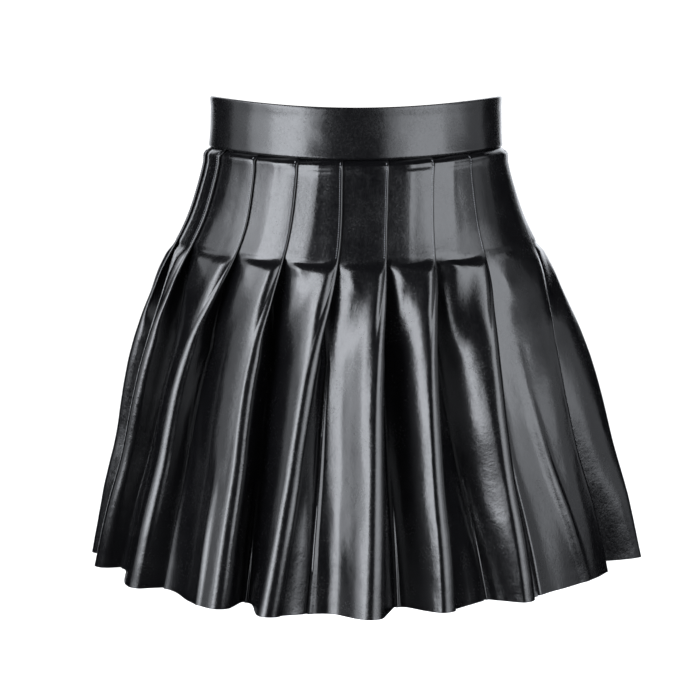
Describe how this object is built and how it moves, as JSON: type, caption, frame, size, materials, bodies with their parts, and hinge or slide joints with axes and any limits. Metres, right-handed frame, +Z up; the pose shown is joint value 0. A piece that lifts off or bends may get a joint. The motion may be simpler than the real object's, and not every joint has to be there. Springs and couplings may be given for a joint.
{
  "type": "pleated faux-leather mini skirt",
  "caption": "Short flared skirt of knife pleats stitched down over the hips under a wide plain waistband, filled out as if worn, open at waist and hem.",
  "frame": {"origin": "middle of the waistband, half way up it, where the wearer's waist holds the skirt", "axes": "+Z up, -Y towards the front, +X to the viewer's right"},
  "size_m": [0.4531, 0.3784, 0.3893],
  "materials": {
    "band_leather": "smooth glossy black faux leather over interfacing",
    "skirt_leather": "glossy black faux leather with a fine embossed grain",
    "zip_tape": "black woven zip tape",
    "zip_metal": "black enamelled metal"
  },
  "bodies": {
    "garment": {"waistband_front": "band_leather", "waistband_back": "band_leather", "skirt_front": "skirt_leather", "skirt_back": "skirt_leather", "zip_tape_front": "zip_tape", "zip_tape_back": "zip_tape", "zip_slider": "zip_metal"},
    "zip_pull_tab": {"zip_pull": "zip_metal"}
  },
  "joints": [
    {"name": "zip_pull_swing", "type": "hinge", "parent": "garment", "child": "zip_pull_tab", "pos_m": [0.11598, 0.01895, 0.01024], "axis": [0.2693, -0.9631, 0], "range_deg": [0, 140]}
  ]
}
